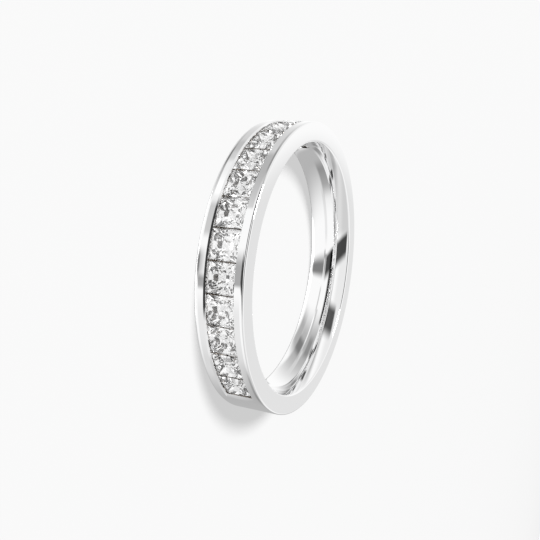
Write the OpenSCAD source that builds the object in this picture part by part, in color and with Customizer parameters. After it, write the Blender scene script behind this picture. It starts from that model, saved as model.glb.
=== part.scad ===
// Channel set band: a polished ring with a half row of square princess cut stones held between two rails.
// It lies on its side: the ring's axis is +Z, the lower rim is on z = 0 and the row faces -Y.
// All lengths are millimetres.

/* [Band] */
// Finger hole across, at the crest of the domed inside
finger_d = 17.3; // [15:0.1:21]
// Width of the band along the finger
band_w = 3.3; // [2.9:0.1:4.5]
// Wall from the crest of the inside to the outer surface
wall_t = 1.75; // [1.7:0.05:2.2]
// Radius of the dome across the inside, seen in section
dome_r = 3.6; // [3:0.1:8]
// Rounding where the dome meets each rim
inner_round = 0.18; // [0.1:0.02:0.3]
// Rounding of the two outer edges
outer_round = 0.12; // [0.1:0.02:0.4]

/* [Stones] */
// Stones in the row
stone_n = 13; // [5:1:17]
// Side of a square stone at its girdle
stone_s = 1.95; // [1.8:0.05:2.1]
// Width of the table
table_s = 1.36; // [1.1:0.02:1.5]
// Height of the crown, from girdle to table
crown_h = 0.22; // [0.18:0.01:0.28]
// Thickness of the girdle
girdle_t = 0.06; // [0.04:0.01:0.1]
// Depth of the tables below the outer surface of the band
table_drop = 0.03; // [0:0.01:0.1]

/* [Setting] */
// Gap between neighbouring girdles
stone_gap = 0.07; // [0.02:0.01:0.1]
// Gap between a stone and the metal round it
seat_gap = 0.02; // [0.015:0.005:0.05]
// How far each rail reaches over a girdle
lip = 0.04; // [0.04:0.01:0.1]
// Width of the bright cut bevel along each rail
rail_bevel = 0.1; // [0.06:0.01:0.16]
// Length of the bright cut bevel at each end of the row
end_bevel = 0.3; // [0.2:0.05:0.5]
// Gap between the last stone and the end of the channel
end_gap = 0.08; // [0.04:0.02:0.2]
// Window under each stone, square
window_s = 1.3; // [1:0.05:1.4]

/* [Hidden] */
$fn = 96;
stone_half = stone_s / 2;
bore_r = finger_d / 2;
outer_r = bore_r + wall_t;
mid_z = band_w / 2;
over = 1;

// Facet cuts, a row each.
// Pavilion: turn from a side towards a corner, slope to the girdle plane, drop below the girdle's corner.
PAVILION_CUTS = [[0, 61, 0], [14, 48.5, 0.02], [26, 43.2, 0.03], [38, 40.8, 0.04], [3, 37.6, 0.35]];
// Crown, all through a corner of the girdle: turn from a side towards a corner, and the share of half a
// table side at which the cut meets it.
CROWN_CUTS = [[0, 1], [22, 0.7], [45, 0.8]];

// Heights along a stone's own axis, with the bottom of its girdle at 0
table_z = girdle_t + crown_h;
culet_z = -min([for (c = PAVILION_CUTS) corner_reach(c[0]) * tan(c[1]) + c[2]]);
side_slope = crown_slope(CROWN_CUTS[0]);

// The bottom of each girdle touches a circle of this radius
girdle_r = outer_r - table_drop - table_z;
stone_turn = 2 * atan(stone_half / girdle_r) + stone_gap / girdle_r * 180 / PI;
row_half_turn = stone_n * stone_turn / 2 + end_gap / girdle_r * 180 / PI;

// Channel in section: opening, groove for the girdles and lower slot, as half widths and radii
open_half = stone_half - lip;
groove_half = stone_half + seat_gap;
lip_rise = lip * tan(side_slope);
groove_hi_r = norm([girdle_r + girdle_t + lip_rise, stone_half]) + seat_gap;
pavilion_run = tan(PAVILION_CUTS[0][1]);
groove_lo_r = girdle_r - (lip + 2 * seat_gap) * pavilion_run;
// The lower slot is as deep as a stone needs to fit through its window
window_half = window_s / 2;
floor_r = girdle_r - (stone_half - window_half + 2 * seat_gap) * pavilion_run;

function stone_angle(i) = -90 + (i - (stone_n - 1) / 2) * stone_turn;
function corner_reach(turn) = stone_half * (cos(turn) + sin(turn));
function table_reach(cut) = table_s / 2 * (cos(cut[0]) + cut[1] * sin(cut[0]));
function crown_slope(cut) = atan(crown_h / (corner_reach(cut[0]) - table_reach(cut)));
function two_digits(i) = i < 10 ? str("0", i) : str(i);

STONES = [for (i = [1:stone_n]) str("stone_", two_digits(i))];

// Section of the wall, with the ring's axis at x = 0
module wall_section() {
    square([outer_r - outer_round, band_w]);
    translate([0, outer_round]) square([outer_r, band_w - 2 * outer_round]);
    for (y = [outer_round, band_w - outer_round])
        translate([outer_r - outer_round, y]) circle(outer_round);
}

// What the rounding takes off where the dome meets the upper rim, above the middle of the width
module rim_round() {
    reach = dome_r - inner_round;
    rise = mid_z - inner_round;
    run = sqrt(reach * reach - rise * rise);
    centre = [bore_r + dome_r - run, band_w - inner_round];
    out = inner_round + over;
    toe = centre + [-run, rise] / reach * out;
    difference() {
        polygon([centre, centre + [0, out], [toe[0], centre[1] + out], toe]);
        translate(centre) circle(inner_round);
    }
}

module band_section() {
    difference() {
        intersection() {
            wall_section();
            translate([bore_r + dome_r, mid_z]) circle(dome_r, $fn = 360);
        }
        rim_round();
        translate([0, band_w]) mirror([0, 1]) rim_round();
    }
}

// Section of the channel above the middle of the width, then mirrored to both sides
module channel_half_section() {
    polygon([
        [floor_r, 0],
        [floor_r, open_half],
        [groove_lo_r, open_half],
        [groove_lo_r, groove_half],
        [groove_hi_r, groove_half],
        [groove_hi_r, open_half],
        [outer_r - rail_bevel, open_half],
        [outer_r, open_half + rail_bevel],
        [outer_r + over, open_half + rail_bevel],
        [outer_r + over, 0]
    ]);
}

module channel() {
    translate([0, 0, mid_z])
        rotate_extrude(angle = 2 * row_half_turn, start = -90 - row_half_turn, $fn = 360) {
            channel_half_section();
            mirror([0, 1]) channel_half_section();
        }
}

// Bevel that opens the channel's end wall to the outer surface
module end_cut(side) {
    slope = atan(end_bevel / rail_bevel);
    rotate([0, 0, -90 + side * row_half_turn])
        translate([outer_r - rail_bevel, 0, mid_z])
            rotate([0, 0, side * slope])
                translate([0, side > 0 ? -over : 0, -open_half])
                    cube([over, over, 2 * open_half]);
}

module window(angle) {
    depth = floor_r - bore_r + 2 * over;
    rotate([0, 0, angle])
        translate([bore_r - over, -window_half, mid_z - window_half])
            cube([depth, window_s, window_s]);
}

module band() {
    color("silver")
        difference() {
            rotate_extrude($fn = 360) band_section();
            channel();
            for (side = [-1, 1]) end_cut(side);
            for (i = [0:stone_n - 1]) window(stone_angle(i));
        }
}

// Takes off all that lies outside one facet through a point at this height on a corner's upright edge.
// A slope under 90 degrees faces up, for the crown, and one over 90 faces down, for the pavilion.
module facet_cut(side, turn, slope, height) {
    block = 2 * stone_s;
    rotate([0, 0, side + turn])
        translate([corner_reach(abs(turn)), 0, height])
            rotate([0, slope, 0])
                translate([-block / 2, -block / 2, 0])
                    cube([block, block, block]);
}

// The same cut at the four sides, and its mirror image where that is another cut
module facet_ring(turn, slope, height) {
    for (side = [0:90:270]) {
        facet_cut(side, turn, slope, height);
        if (turn > 0 && turn < 45) facet_cut(side, -turn, slope, height);
    }
}

// A princess cut stone: its axis is Z, the bottom of its girdle is on z = 0 and its table is up
module stone_solid() {
    difference() {
        translate([-stone_half, -stone_half, culet_z - over])
            cube([stone_s, stone_s, table_z - culet_z + over]);
        for (c = CROWN_CUTS) facet_ring(c[0], crown_slope(c), girdle_t);
        for (c = PAVILION_CUTS) facet_ring(c[0], 180 - c[1], -c[2]);
    }
}

module stone(i) {
    color("white")
        rotate([0, 0, stone_angle(i)])
            translate([girdle_r, 0, mid_z])
                rotate([0, 90, 0])
                    stone_solid();
}

band();
for (i = [0:stone_n - 1])
    stone(i);
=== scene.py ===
from collections import namedtuple
from math import acos, asin, atan, ceil, cos, hypot, pi, radians, sin, sqrt, tan

import bmesh
import bpy
from bpy.props import FloatProperty, FloatVectorProperty, PointerProperty
from mathutils import Matrix, Vector


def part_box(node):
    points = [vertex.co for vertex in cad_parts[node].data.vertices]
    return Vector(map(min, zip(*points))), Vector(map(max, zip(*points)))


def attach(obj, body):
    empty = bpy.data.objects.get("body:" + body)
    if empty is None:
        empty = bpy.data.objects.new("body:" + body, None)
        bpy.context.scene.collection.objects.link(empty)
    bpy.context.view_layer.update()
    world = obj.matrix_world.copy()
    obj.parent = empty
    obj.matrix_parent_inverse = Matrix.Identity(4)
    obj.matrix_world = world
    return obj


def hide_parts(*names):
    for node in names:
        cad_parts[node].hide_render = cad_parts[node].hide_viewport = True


bl_info = {
    "name": "Channel Set Band",
    "version": (1, 0, 0),
    "blender": (4, 5, 0),
    "location": "3D View > Sidebar > Ring",
    "description": "Builds a polished channel set ring with a row of princess cut stones, and its studio",
    "category": "Add Mesh",
}

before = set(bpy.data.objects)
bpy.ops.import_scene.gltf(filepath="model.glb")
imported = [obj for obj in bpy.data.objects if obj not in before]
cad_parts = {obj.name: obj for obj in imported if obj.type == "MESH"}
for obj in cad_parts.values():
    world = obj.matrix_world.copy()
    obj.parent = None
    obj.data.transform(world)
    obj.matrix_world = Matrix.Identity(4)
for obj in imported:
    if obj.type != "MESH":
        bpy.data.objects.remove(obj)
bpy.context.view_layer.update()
BAND_LOW, BAND_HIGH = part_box("band")
STONES = sorted(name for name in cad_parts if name.startswith("stone_"))
MIDDLE_LOW, MIDDLE_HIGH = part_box(STONES[len(STONES) // 2])
MM = 0.001
MERGE = 1e-4 * MM

# Turn of one facet along the curves of the section
CROWN_STEP = radians(1.5)
ROUNDING_STEP = radians(6)
DOME_STEP = radians(2)
# Edges that turn by more than this stay sharp
SHARP_FROM = radians(30)

# Scale and detail of the marks that tools leave: a polishing wheel, a bur and the lap that cuts facets
WHEEL_MARKS = (900.0, 2.0)
BUR_MARKS = (6000.0, 3.0)
LAP_MARKS = (2500.0, 1.0)
# Least and most roughness under those marks. The wheel's are shares of the polish.
WHEEL_ROUGHNESS = (0.6, 1.5)
BUR_ROUGHNESS = (0.18, 0.34)
LAP_ROUGHNESS = (0.0, 0.01)
# Strength and depth of the bump under the bur's marks
BUR_STRENGTH, BUR_DEPTH = 0.25, 0.01 * MM
# Most of a noise's values lie in this range
NOISE_LOW, NOISE_HIGH = 0.3, 0.7
# A girdle's sides face away from the ring's radius by a right angle, give or take this sine
UPRIGHT_WITHIN = 0.15
FLOOR_RADIUS = 1.3
FLOOR_SIDES = 64
FLOOR_ROUGHNESS = 0.9
# How often light may bounce off the metal, and pass the faces of the stones
METAL_BOUNCES = 12
STONE_BOUNCES = 24


def length(name, description, default):
    return FloatProperty(name=name, description=description, default=default, min=0.0, precision=6,
                         subtype="DISTANCE", unit="LENGTH")


def angle(name, description, default):
    return FloatProperty(name=name, description=description, default=radians(default),
                         subtype="ANGLE", unit="ROTATION")


def share(name, description, default):
    return FloatProperty(name=name, description=description, default=default, min=0.0, soft_max=1.0,
                         subtype="FACTOR")


def colour(name, description, default):
    return FloatVectorProperty(name=name, description=description, default=default, size=4,
                               min=0.0, max=1.0, subtype="COLOR")


class BandSizes(bpy.types.PropertyGroup):
    """The metal's section and its channel."""

    outer_radius: length("Outer radius", "From the ring's axis to the rails", BAND_HIGH.x)
    width: length("Width", "Along the finger", BAND_HIGH.z - BAND_LOW.z)
    wall: length("Wall", "From the crest of the inside to the rails", 1.75 * MM)
    dome: length("Dome", "Radius of the domed inside, in section", 3.6 * MM)
    inner_round: length("Inner rounding", "Where the dome meets a rim", 0.18 * MM)
    outer_round: length("Outer rounding", "Of the two outer edges", 0.12 * MM)
    crown: length("Rail crown", "Radius of the slight fall of a rail to its outer edge", 1.0 * MM)
    crown_turn: angle("Rail crown's turn", "How far a rail turns down before the outer rounding", 8)
    lip: length("Lip", "How far a rail reaches over a girdle", 0.04 * MM)
    rail_bevel: length("Rail bevel", "Bright cut along each rail", 0.1 * MM)
    end_bevel: length("End bevel", "Bright cut at each end of the row", 0.3 * MM)
    window: length("Window", "Side of the square hole under a stone", 1.3 * MM)
    step: angle("Step", "Angle of one facet round the ring", 0.75)


class StoneSizes(bpy.types.PropertyGroup):
    """What the metal needs to know of the stones, read from the frame where it says."""

    side: length("Side", "Of a stone's square girdle", MIDDLE_HIGH.x - MIDDLE_LOW.x)
    table_radius: length("Table radius", "From the ring's axis to the tables", -MIDDLE_LOW.y)
    crown: length("Crown", "From the girdle to the table", 0.22 * MM)
    girdle: length("Girdle", "Thickness of the girdle", 0.06 * MM)
    table: length("Table", "Width of the table", 1.36 * MM)
    culet_slope: angle("Pavilion slope", "Of the facets below a girdle's side", 61)
    gap: length("Gap", "Between two girdles", 0.07 * MM)
    seat_gap: length("Seat gap", "Between a stone and the metal", 0.02 * MM)
    end_gap: length("End gap", "From the last stone to the end of the channel", 0.08 * MM)


class Finishes(bpy.types.PropertyGroup):
    """Colours and gloss."""

    metal: colour("Metal", "Polished white gold", (0.93, 0.93, 0.932, 1.0))
    # Painted shade: this dark brown stands in for the shade inside the channel, beside the stones
    shaded_channel_metal: colour("Channel metal", "Inside the channel, less polished", (0.42, 0.38, 0.34, 1.0))
    polish: share("Polish", "Roughness of the polished metal", 0.03)
    stone: colour("Stone", "Clear stone", (1.0, 1.0, 1.0, 1.0))
    # Painted shade: this dark brown on the girdle's sides stands in for the shade between two stones
    girdle_shade: colour("Girdle", "Bruted girdle in the shade between two stones", (0.16, 0.12, 0.09, 1.0))
    stone_ior: FloatProperty(name="Stone IOR", description="Refraction of the stones", default=2.42,
                             min=1.0)


class Studio(bpy.types.PropertyGroup):
    """Camera, floor and light. The camera's turns and lens were fitted to the photograph's outlines."""

    distance: FloatProperty(name="Distance", description="Of the camera, in outer radii", default=5.0)
    elevation: angle("Elevation", "Of the camera above the ring's middle plane", 22.39)
    bearing: angle("Bearing", "Of the camera round the ring's axis, from +X", -73.74)
    pan: angle("Pan", "Sideways turn from the ring's centre", 1.345)
    tilt: angle("Tilt", "Up or down turn from the ring's centre", 0.395)
    roll: angle("Roll", "Turn of the picture about its centre", 7.165)
    lens: FloatProperty(name="Lens", description="Focal length", default=47.85, subtype="DISTANCE_CAMERA")
    floor: colour("Floor", "Pale floor", (0.594, 0.594, 0.594, 1.0))
    light: FloatProperty(name="Light", default=1.03,
                         description="Brightness of the studio's white surround")
    fire: FloatProperty(name="Fire", default=1.45,
                        description="How much brighter the surround is inside the stones")
    key: FloatProperty(name="Key light", default=240.0, unit="POWER",
                       description="Of the soft light that casts the shadow")
    key_size: length("Key size", "Across the key light", 2.0)
    key_distance: length("Key distance", "From the key light to the ring", 6.0)
    key_bearing: angle("Key bearing", "Of the key light round the ring's axis, from the camera", -74)
    key_height: angle("Key height", "Of the key light above the floor", 60)


class RingSettings(bpy.types.PropertyGroup):
    """All that a user would change."""

    band: PointerProperty(type=BandSizes)
    stones: PointerProperty(type=StoneSizes)
    finish: PointerProperty(type=Finishes)
    studio: PointerProperty(type=Studio)


# Layout of the row, the channel and the dome, worked out from the sizes

def girdle_radius(ring):
    return ring.stones.table_radius - ring.stones.crown - ring.stones.girdle


def stone_turn(ring):
    radius = girdle_radius(ring)
    return 2 * atan(ring.stones.side / 2 / radius) + ring.stones.gap / radius


def row_half_turn(ring):
    return len(STONES) * stone_turn(ring) / 2 + ring.stones.end_gap / girdle_radius(ring)


def groove_heights(ring):
    """Outer and inner radius of the groove that holds the girdles."""
    half = ring.stones.side / 2
    crown_slope = atan(ring.stones.crown / (half - ring.stones.table / 2))
    rise = ring.band.lip * tan(crown_slope)
    outer = hypot(girdle_radius(ring) + ring.stones.girdle + rise, half) + ring.stones.seat_gap
    inner = girdle_radius(ring) - (ring.band.lip + 2 * ring.stones.seat_gap) * tan(ring.stones.culet_slope)
    return outer, inner


def floor_radius(ring):
    """Radius of the channel's floor, as deep as a stone needs to pass its window."""
    half = ring.stones.side / 2
    run = half - ring.band.window / 2 + 2 * ring.stones.seat_gap
    return girdle_radius(ring) - run * tan(ring.stones.culet_slope)


def dome_centre(ring):
    """From the ring's axis to the centre of the dome's arc."""
    return ring.band.outer_radius - ring.band.wall + ring.band.dome


def dome_point(ring):
    """Radius of the dome at a window's side."""
    return dome_centre(ring) - sqrt(ring.band.dome ** 2 - (ring.band.window / 2) ** 2)


def stretches(ring):
    """Angles round the ring, from the row's first end: each stretch's turn and what it holds."""
    half_window = asin(ring.band.window / 2 / floor_radius(ring))
    bar = stone_turn(ring) / 2 - half_window
    end = row_half_turn(ring) - len(STONES) * stone_turn(ring) / 2
    mitre = ring.band.end_bevel / ring.band.outer_radius
    row = [(end, "bar")]
    for _ in STONES:
        row += [(bar, "bar"), (2 * half_window, "window"), (bar, "bar")]
    row += [(end, "bar"), (mitre, "mitre")]
    plain = 2 * pi - 2 * row_half_turn(ring) - 2 * mitre
    return row + [(plain, "plain"), (mitre, "mitre")]


# Wires of the section, drawn in the X-Z plane with the ring's axis at X = 0 and its middle plane at Z = 0

def line(bm, path, radius, height):
    vert = bm.verts.new((radius, 0, height))
    if path:
        bm.edges.new((path[-1], vert))
    path.append(vert)


def arc(bm, path, centre_radius, centre_height, turn, step):
    """Goes on from the path's last point, counter-clockwise about the centre."""
    made = bmesh.ops.spin(bm, geom=[path[-1]], cent=(centre_radius, 0, centre_height), axis=(0, 1, 0),
                          angle=-turn, steps=max(1, ceil(turn / step)))
    path.append(made["geom_last"][0])


def rail_wire(bm, ring):
    """From the rail's inner edge over the outer rounding, the rim and the dome to a window's side."""
    band = ring.band
    path, half = [], band.width / 2
    line(bm, path, band.outer_radius, ring.stones.side / 2 - band.lip + band.rail_bevel)
    crown_start = half - band.outer_round - (band.crown - band.outer_round) * sin(band.crown_turn)
    fall = (band.crown - band.outer_round) * (1 - cos(band.crown_turn))
    outer_centre = band.outer_radius - fall - band.outer_round
    line(bm, path, band.outer_radius, crown_start)
    arc(bm, path, band.outer_radius - band.crown, crown_start, band.crown_turn, CROWN_STEP)
    arc(bm, path, outer_centre, half - band.outer_round, pi / 2 - band.crown_turn, ROUNDING_STEP)
    reach, rise = band.dome - band.inner_round, half - band.inner_round
    inner_centre = dome_centre(ring) - sqrt(reach ** 2 - rise ** 2)
    lean = acos(rise / reach)
    line(bm, path, inner_centre, half)
    arc(bm, path, inner_centre, rise, lean, ROUNDING_STEP)
    arc(bm, path, dome_centre(ring), 0, acos(band.window / 2 / band.dome) - lean, DOME_STEP)


def crown_wire(bm, ring):
    """Across the plain band, where there is no channel."""
    path = []
    line(bm, path, ring.band.outer_radius, ring.stones.side / 2 - ring.band.lip + ring.band.rail_bevel)
    line(bm, path, ring.band.outer_radius, 0)


def channel_wire(bm, ring):
    """From the rail's edge down its bevel, round the girdles' groove, to the edge of the windows."""
    band = ring.band
    path, open_half = [], ring.stones.side / 2 - band.lip
    groove_half = ring.stones.side / 2 + ring.stones.seat_gap
    outer, inner = groove_heights(ring)
    line(bm, path, band.outer_radius, open_half + band.rail_bevel)
    line(bm, path, band.outer_radius - band.rail_bevel, open_half)
    line(bm, path, outer, open_half)
    line(bm, path, outer, groove_half)
    line(bm, path, inner, groove_half)
    line(bm, path, inner, open_half)
    line(bm, path, floor_radius(ring), open_half)
    line(bm, path, floor_radius(ring), band.window / 2)


def floor_wire(bm, ring):
    """Across the channel's floor between two windows."""
    path = []
    line(bm, path, floor_radius(ring), ring.band.window / 2)
    line(bm, path, floor_radius(ring), 0)


def window_wire(bm, ring):
    """A window's side, from the channel's floor to the dome."""
    path = []
    line(bm, path, floor_radius(ring), ring.band.window / 2)
    line(bm, path, dome_point(ring), ring.band.window / 2)


def crest_wire(bm, ring):
    """Across the crest of the dome, between two windows or where there are none."""
    path = []
    line(bm, path, dome_point(ring), ring.band.window / 2)
    arc(bm, path, dome_centre(ring), 0, asin(ring.band.window / 2 / ring.band.dome), DOME_STEP)


WIRES = {
    "bar": (rail_wire, channel_wire, floor_wire, crest_wire),
    "window": (rail_wire, channel_wire, window_wire),
    "mitre": (rail_wire, crest_wire),
    "plain": (rail_wire, crown_wire, crest_wire),
}


def sweep(bm, wires, ring, start, turn):
    """Draws the wires at one angle, spins them to the next and adds that to the mesh."""
    part = bmesh.new()
    for wire in wires:
        wire(part, ring)
    bmesh.ops.rotate(part, cent=(0, 0, 0), matrix=Matrix.Rotation(start, 3, "Z"), verts=part.verts)
    bmesh.ops.spin(part, geom=list(part.verts) + list(part.edges), cent=(0, 0, 0), axis=(0, 0, 1),
                   angle=turn, steps=max(1, ceil(turn / ring.band.step)))
    mesh = bpy.data.meshes.new("stretch")
    part.to_mesh(mesh)
    part.free()
    bm.from_mesh(mesh)
    bpy.data.meshes.remove(mesh)


def nearest(bm, radius, bearing, height):
    place = Vector((radius * cos(bearing), radius * sin(bearing), height))
    return min(bm.verts, key=lambda vert: (vert.co - place).length_squared)


def mitre_end(bm, ring, bearing, away):
    """Edges that split the open end of the channel into its end wall, its bevel and two corners."""
    band = ring.band
    low = ring.stones.side / 2 - band.lip
    high = low + band.rail_bevel
    mitre = away * band.end_bevel / band.outer_radius
    lower = [nearest(bm, band.outer_radius - band.rail_bevel, bearing, side * low) for side in (-1, 1)]
    upper = [nearest(bm, band.outer_radius, bearing + mitre, side * high) for side in (-1, 1)]
    bm.edges.new(lower)
    for pair in zip(lower, upper):
        bm.edges.new(pair)


def finish_mesh(bm, name):
    bmesh.ops.recalc_face_normals(bm, faces=bm.faces)
    mesh = bpy.data.meshes.new(name)
    bm.to_mesh(mesh)
    bm.free()
    mesh.shade_smooth()
    mesh.set_sharp_from_angle(angle=SHARP_FROM)
    piece = bpy.data.objects.new(name, mesh)
    bpy.context.scene.collection.objects.link(piece)
    return piece


def band_mesh(ring):
    bm = bmesh.new()
    bearing = -pi / 2 - row_half_turn(ring)
    for turn, kind in stretches(ring):
        sweep(bm, WIRES[kind], ring, bearing, turn)
        bearing += turn
    bmesh.ops.remove_doubles(bm, verts=bm.verts, dist=MERGE)
    bmesh.ops.mirror(bm, geom=list(bm.verts) + list(bm.edges) + list(bm.faces), merge_dist=MERGE, axis="Z")
    bmesh.ops.remove_doubles(bm, verts=bm.verts, dist=MERGE)
    for away in (-1, 1):
        mitre_end(bm, ring, -pi / 2 + away * row_half_turn(ring), away)
    bmesh.ops.holes_fill(bm, edges=[edge for edge in bm.edges if edge.is_boundary or edge.is_wire], sides=0)
    bmesh.ops.translate(bm, verts=bm.verts, vec=(0, 0, ring.band.width / 2))
    return bm


# Materials

def new_material(name):
    """A material with its Principled shader, ready for more nodes."""
    material = bpy.data.materials.new(name)
    material.use_nodes = True
    shader = material.node_tree.nodes["Principled BSDF"]
    return material, material.node_tree, shader


def add_noise(tree, scale, detail):
    place = tree.nodes.new("ShaderNodeTexCoord")
    noise = tree.nodes.new("ShaderNodeTexNoise")
    noise.inputs["Scale"].default_value = scale
    noise.inputs["Detail"].default_value = detail
    tree.links.new(place.outputs["Object"], noise.inputs["Vector"])
    return noise


def spread(tree, source, low, high):
    """Takes a noise's value to a range."""
    node = tree.nodes.new("ShaderNodeMapRange")
    node.inputs["From Min"].default_value = NOISE_LOW
    node.inputs["From Max"].default_value = NOISE_HIGH
    node.inputs["To Min"].default_value = low
    node.inputs["To Max"].default_value = high
    tree.links.new(source, node.inputs["Value"])
    return node.outputs["Result"]


def polished_metal(ring):
    """Mirror polish, with the faint unevenness that a polishing wheel leaves."""
    material, tree, shader = new_material("polished_metal")
    shader.inputs["Base Color"].default_value = ring.finish.metal
    shader.inputs["Metallic"].default_value = 1.0
    wheel = add_noise(tree, *WHEEL_MARKS)
    roughness = [ring.finish.polish * part for part in WHEEL_ROUGHNESS]
    tree.links.new(spread(tree, wheel.outputs["Fac"], *roughness), shader.inputs["Roughness"])
    return material


def shaded_channel_metal(ring):
    """Inside the channel: cut with a bur and less polished, with a dark brown base colour that is painted
    shade.
    """
    material, tree, shader = new_material("shaded_channel_metal")
    shader.inputs["Base Color"].default_value = ring.finish.shaded_channel_metal
    shader.inputs["Metallic"].default_value = 1.0
    bur = add_noise(tree, *BUR_MARKS)
    tree.links.new(spread(tree, bur.outputs["Fac"], *BUR_ROUGHNESS), shader.inputs["Roughness"])
    bump = tree.nodes.new("ShaderNodeBump")
    bump.inputs["Strength"].default_value = BUR_STRENGTH
    bump.inputs["Distance"].default_value = BUR_DEPTH
    tree.links.new(bur.outputs["Fac"], bump.inputs["Height"])
    tree.links.new(bump.outputs["Normal"], shader.inputs["Normal"])
    return material


def girdle_mask(tree):
    """1 on the sides of a stone's girdle, which get painted shade: their normals are square to the way out
    from the ring's axis.
    """
    place = tree.nodes.new("ShaderNodeTexCoord")
    level = tree.nodes.new("ShaderNodeVectorMath")
    level.operation = "MULTIPLY"
    level.inputs[1].default_value = (1.0, 1.0, 0.0)
    tree.links.new(place.outputs["Object"], level.inputs[0])
    unit = tree.nodes.new("ShaderNodeVectorMath")
    unit.operation = "NORMALIZE"
    tree.links.new(level.outputs["Vector"], unit.inputs[0])
    geometry = tree.nodes.new("ShaderNodeNewGeometry")
    facing = tree.nodes.new("ShaderNodeVectorMath")
    facing.operation = "DOT_PRODUCT"
    tree.links.new(unit.outputs["Vector"], facing.inputs[0])
    tree.links.new(geometry.outputs["True Normal"], facing.inputs[1])
    mask = tree.nodes.new("ShaderNodeMath")
    mask.operation = "COMPARE"
    mask.inputs[1].default_value = 0.0
    mask.inputs[2].default_value = UPRIGHT_WITHIN
    tree.links.new(facing.outputs["Value"], mask.inputs[0])
    return mask.outputs["Value"]


def clear_stone(ring):
    """Colourless stone with painted shade, a dark brown, on its girdle's sides, and a polish that is a
    little uneven.
    """
    material, tree, shader = new_material("clear_stone")
    # Painted shade: the girdle's sides are tinted dark brown for the shade between two stones
    tint = tree.nodes.new("ShaderNodeVectorMath")
    tint.operation = "MULTIPLY_ADD"
    stone, girdle_shade = Vector(ring.finish.stone[:3]), Vector(ring.finish.girdle_shade[:3])
    tint.inputs[1].default_value = girdle_shade - stone
    tint.inputs[2].default_value = stone
    tree.links.new(girdle_mask(tree), tint.inputs[0])
    tree.links.new(tint.outputs["Vector"], shader.inputs["Base Color"])
    shader.inputs["Transmission Weight"].default_value = 1.0
    shader.inputs["IOR"].default_value = ring.finish.stone_ior
    lap = add_noise(tree, *LAP_MARKS)
    tree.links.new(spread(tree, lap.outputs["Fac"], *LAP_ROUGHNESS), shader.inputs["Roughness"])
    return material


def floor_paper(ring):
    material, tree, shader = new_material("floor_paper")
    shader.inputs["Base Color"].default_value = ring.studio.floor
    shader.inputs["Roughness"].default_value = FLOOR_ROUGHNESS
    shader.inputs["Specular IOR Level"].default_value = 0.0
    return material


# Where the surround is dimmed, as cards do in a studio. Angles in degrees, bearings from the camera's.
# A flag stands at its bearing, and leans by so much for each degree of height above LEAN_FROM. It is dark
# out to its core on either side, and fades out over before and after. In height it is dark from low to
# high, and fades out over soft. Its left is the share of the light left where it is darkest, and with more
# than 1 it is a lamp.
# These numbers began as a fit to the reflections in the photograph, rounded, and many were then set one by
# one.
# Set without the fit: both roofs, under, behind low, horizon, left low, bore low and bore high.
Flag = namedtuple("Flag", "bearing lean core before after low high soft left")
LEAN_FROM = -20
# Heights are measured from a plane that falls towards the camera by this angle
CARD_TILT = 2.6
FLAGS = {
    "roof": Flag(0, 0.0, 140, 12, 12, 20, 90, 10, 0.86),
    "roof over camera": Flag(0, 0.0, 50, 15, 15, 54, 76, 5, 0.05),
    "under": Flag(0, 0.0, 100, 10, 10, -90, -66, 4, 4.5),
    "behind, low": Flag(180, 0.0, 8, 6, 6, -75, -30, 4, 0.1),
    "horizon": Flag(-16, 0.0, 35, 6, 6, -8, 4, 4, 0.04),
    "left": Flag(-87, 0.17, 12, 59, 40, -40, 3, 6, 0.47),
    "left, low": Flag(-84, 0.0, 12, 26, 32, -54, -46, 6, 0.45),
    "left, rails": Flag(-85, 0.0, 8, 42, 31, -28, -22.5, 0.8, 1.45),
    "left rail, far": Flag(-100, 0.0, 3, 7, 9, -28, -26, 0.8, 0.82),
    "left rail, lamp": Flag(-66, 0.0, 12, 8, 8, -28, -26, 0.8, 1.33),
    "left rail, near": Flag(-30, 0.0, 9, 8, 8, -28.3, -26, 0.8, 0.62),
    "right rail, near": Flag(-65, 0.0, 23, 8, 3, -25.6, -22.3, 0.8, 0.7),
    "bore, low": Flag(-91, 0.0, 4, 12, 10, -42, -31, 4, 0.45),
    "bore, high": Flag(-84, 0.0, 6, 12, 12, -18, -12, 3, 0.6),
    "camera, low": Flag(4, 0.0, 3, 11, 17, -75, -29, 3, 0.22),
    "camera, high": Flag(7, 0.5, 7, 12, 8, -20.5, 30, 1, 0.07),
    "camera, right rail": Flag(11, 0.0, 6, 16, 4, -25.6, -21, 0.8, 0.42),
    "camera, left rail": Flag(19, 0.0, 2, 6, 5, -28.2, -26, 0.8, 0.42),
    "behind": Flag(148, 0.0, 11, 83, 21, -75, 3, 8, 0.47),
    "right": Flag(108, 0.0, 9, 22, 21, -22, -6, 4, 0.55),
    "right, rails": Flag(62, 0.0, 19, 20, 20, -28, -22.5, 0.8, 0.84),
    "back wall": Flag(176, 0.0, 9, 14, 8, 8, 28, 5, 0.79),
    "upper left": Flag(-38, -0.25, 8, 16, 12, 2, 22, 4, 0.1),
    "upper right": Flag(82, 0.0, 35, 16, 15, 0, 36, 5, 0.75),
}


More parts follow.
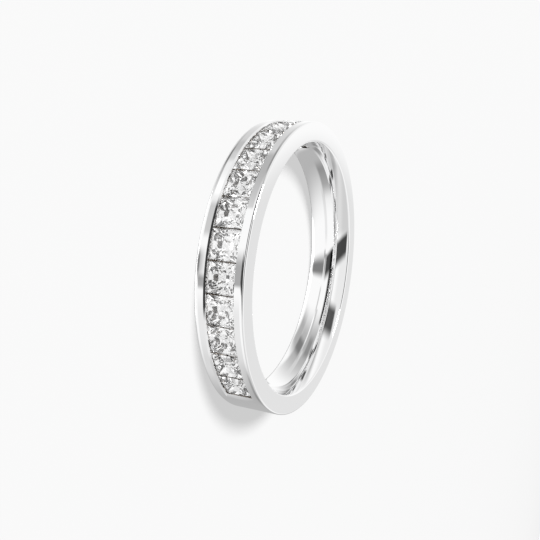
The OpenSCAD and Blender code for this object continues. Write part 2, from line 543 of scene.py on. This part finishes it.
def surround(ring):
    """A white world, dimmed by flags. Camera and floor see it plain, and the stones' insides brighter."""
    world = bpy.data.worlds.new("studio_surround")
    world.use_nodes = True
    tree = world.node_tree
    nodes, links = tree.nodes, tree.links
    background = nodes["Background"]
    background.inputs["Color"].default_value = (1.0, 1.0, 1.0, 1.0)
    direction = nodes.new("ShaderNodeTexCoord")
    split = nodes.new("ShaderNodeSeparateXYZ")
    turn = nodes.new("ShaderNodeMapping")
    turn.vector_type = "POINT"
    turn.inputs["Rotation"].default_value = (0, 0, -ring.studio.bearing)
    links.new(direction.outputs["Generated"], turn.inputs["Vector"])
    links.new(turn.outputs["Vector"], split.inputs["Vector"])

    def maths(operation, *values):
        node = nodes.new("ShaderNodeMath")
        node.operation = operation
        for socket, value in zip(node.inputs, values):
            if isinstance(value, (int, float)):
                socket.default_value = value
            else:
                links.new(value, socket)
        return node.outputs["Value"]

    def fade(value, start, end, first, last):
        node = nodes.new("ShaderNodeMapRange")
        node.interpolation_type = "SMOOTHSTEP"
        for name, number in (("From Min", start), ("From Max", end), ("To Min", first), ("To Max", last)):
            node.inputs[name].default_value = number
        links.new(value, node.inputs["Value"])
        return node.outputs["Result"]

    bearing = maths("ARCTAN2", split.outputs["Y"], split.outputs["X"])
    lift = maths("MULTIPLY", split.outputs["X"], radians(CARD_TILT))
    height = maths("ADD", maths("ARCSINE", split.outputs["Z"]), lift)
    raised = maths("SUBTRACT", height, radians(LEAN_FROM))
    light = None
    for flag in FLAGS.values():
        place = maths("ADD", maths("MULTIPLY", raised, flag.lean), radians(flag.bearing))
        across = maths("WRAP", maths("SUBTRACT", bearing, place), pi, -pi)
        shades = (
            fade(across, radians(-flag.core - flag.before), radians(-flag.core), 0.0, 1.0),
            fade(across, radians(flag.core), radians(flag.core + flag.after), 1.0, 0.0),
            fade(height, radians(flag.low - flag.soft), radians(flag.low), 0.0, 1.0),
            fade(height, radians(flag.high), radians(flag.high + flag.soft), 1.0, 0.0),
        )
        shade = 1 - flag.left
        for part in shades:
            shade = maths("MULTIPLY", part, shade)
        lit = maths("SUBTRACT", 1.0, shade)
        light = lit if light is None else maths("MULTIPLY", light, lit)
    path = nodes.new("ShaderNodeLightPath")
    plain = maths("MAXIMUM", path.outputs["Is Camera Ray"], path.outputs["Is Diffuse Ray"])
    dimmed = maths("MULTIPLY", light, maths("SUBTRACT", 1.0, plain))
    fire = maths("MULTIPLY_ADD", path.outputs["Is Transmission Ray"], ring.studio.fire - 1, 1.0)
    strength = maths("MULTIPLY", maths("ADD", dimmed, plain), ring.studio.light)
    links.new(maths("MULTIPLY", strength, fire), background.inputs["Strength"])
    return world


def outward(height, bearing):
    """A unit step from the ring, at this angle above the floor and round its axis."""
    return Vector((cos(height) * cos(bearing), cos(height) * sin(bearing), sin(height)))


def key_light(ring):
    """A soft light far to one side, that casts the faint shadow at the foot of the picture's ring."""
    data = bpy.data.lights.new("key_light", "AREA")
    data.shape = "DISK"
    data.size = ring.studio.key_size
    data.energy = ring.studio.key
    light = bpy.data.objects.new("key_light", data)
    away = outward(ring.studio.key_height, ring.studio.bearing + ring.studio.key_bearing)
    facing = away.to_track_quat("Z", "Y").to_matrix().to_4x4()
    light.matrix_world = Matrix.Translation(away * ring.studio.key_distance) @ facing
    return light


# Operators

class RING_OT_band(bpy.types.Operator):
    """Build the polished band, with its channel and the windows under the stones"""

    bl_idname = "ring.band"
    bl_label = "Band"

    def execute(self, context):
        ring = context.scene.ring
        bm = band_mesh(ring)
        piece = finish_mesh(bm, "polished_band")
        piece.data.materials.append(polished_metal(ring))
        piece.data.materials.append(shaded_channel_metal(ring))
        below_bevels = ring.band.outer_radius - 1.5 * ring.band.rail_bevel
        above_dome = (dome_point(ring) + floor_radius(ring)) / 2
        past_groove = ring.stones.side / 2 + 2 * ring.stones.seat_gap
        # Faces deep in the channel get the channel metal, whose dark brown is painted shade
        for face in piece.data.polygons:
            centre = face.center
            in_depth = above_dome < hypot(centre.x, centre.y) < below_bevels
            if in_depth and abs(centre.z - ring.band.width / 2) < past_groove:
                face.material_index = 1
        piece.visible_diffuse = False
        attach(piece, "root")
        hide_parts("band")
        return {"FINISHED"}


class RING_OT_stones(bpy.types.Operator):
    """Give each stone of the frame its clear faceted finish"""

    bl_idname = "ring.stones"
    bl_label = "Stones"

    def execute(self, context):
        material = clear_stone(context.scene.ring)
        for name in STONES:
            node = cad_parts[name]
            node.data.materials.clear()
            node.data.materials.append(material)
            node.visible_diffuse = False
        return {"FINISHED"}


class RING_OT_camera(bpy.types.Operator):
    """Place the camera at the photograph's angle to the ring"""

    bl_idname = "ring.camera"
    bl_label = "Camera"

    def execute(self, context):
        ring = context.scene.ring
        view = ring.studio
        centre = Vector((0, 0, ring.band.width / 2))
        away = outward(view.elevation, view.bearing)
        forward = -away
        right = (Vector((0, 0, 1)) - forward * forward.z).normalized()
        down = forward.cross(right)
        # Its rows are the picture's right, its down and the way that the camera looks
        aim = (Matrix.Rotation(view.roll, 3, "Z") @ Matrix.Rotation(view.tilt, 3, "X")
               @ Matrix.Rotation(view.pan, 3, "Y") @ Matrix((right, down, forward)))
        data = bpy.data.cameras.new("camera")
        data.lens = view.lens
        data.sensor_width = 36.0
        data.clip_start = 1 * MM
        data.clip_end = 10.0
        camera = bpy.data.objects.new("camera", data)
        place = centre + away * view.distance * ring.band.outer_radius
        facing = Matrix((aim[0], -aim[1], -aim[2])).transposed().to_4x4()
        camera.matrix_world = Matrix.Translation(place) @ facing
        context.scene.collection.objects.link(camera)
        context.scene.camera = camera
        return {"FINISHED"}


class RING_OT_stage(bpy.types.Operator):
    """Lay the pale floor and light the studio"""

    bl_idname = "ring.stage"
    bl_label = "Stage"

    def execute(self, context):
        ring = context.scene.ring
        bm = bmesh.new()
        bmesh.ops.create_circle(bm, cap_ends=True, segments=FLOOR_SIDES, radius=FLOOR_RADIUS)
        floor = finish_mesh(bm, "floor")
        floor.data.materials.append(floor_paper(ring))
        floor.visible_glossy = False
        context.scene.world = surround(ring)
        context.scene.world.cycles.sampling_method = "NONE"
        context.scene.collection.objects.link(key_light(ring))
        context.scene.view_settings.view_transform = "Standard"
        context.scene.cycles.max_bounces = STONE_BOUNCES
        context.scene.cycles.glossy_bounces = METAL_BOUNCES
        context.scene.cycles.transmission_bounces = STONE_BOUNCES
        return {"FINISHED"}


class RING_PT_panel(bpy.types.Panel):
    """Lists what the ring is made of"""

    bl_idname = "RING_PT_panel"
    bl_label = "Channel Set Band"
    bl_space_type = "VIEW_3D"
    bl_region_type = "UI"
    bl_category = "Ring"

    def draw(self, context):
        settings = context.scene.ring
        for operator in OPERATORS:
            self.layout.operator(operator.bl_idname)
        for group in (settings.band, settings.stones, settings.finish, settings.studio):
            box = self.layout.box()
            for name in group.bl_rna.properties.keys():
                if name not in ("rna_type", "name"):
                    box.prop(group, name)


OPERATORS = (RING_OT_camera, RING_OT_stage, RING_OT_band, RING_OT_stones)
CLASSES = (BandSizes, StoneSizes, Finishes, Studio, RingSettings, *OPERATORS, RING_PT_panel)


def register():
    for cls in CLASSES:
        bpy.utils.register_class(cls)
    bpy.types.Scene.ring = PointerProperty(type=RingSettings)


def unregister():
    del bpy.types.Scene.ring
    for cls in reversed(CLASSES):
        bpy.utils.unregister_class(cls)


def main():
    register()
    bpy.ops.ring.camera()
    bpy.ops.ring.stage()
    bpy.ops.ring.band()
    bpy.ops.ring.stones()


if __name__ == "__main__":
    main()
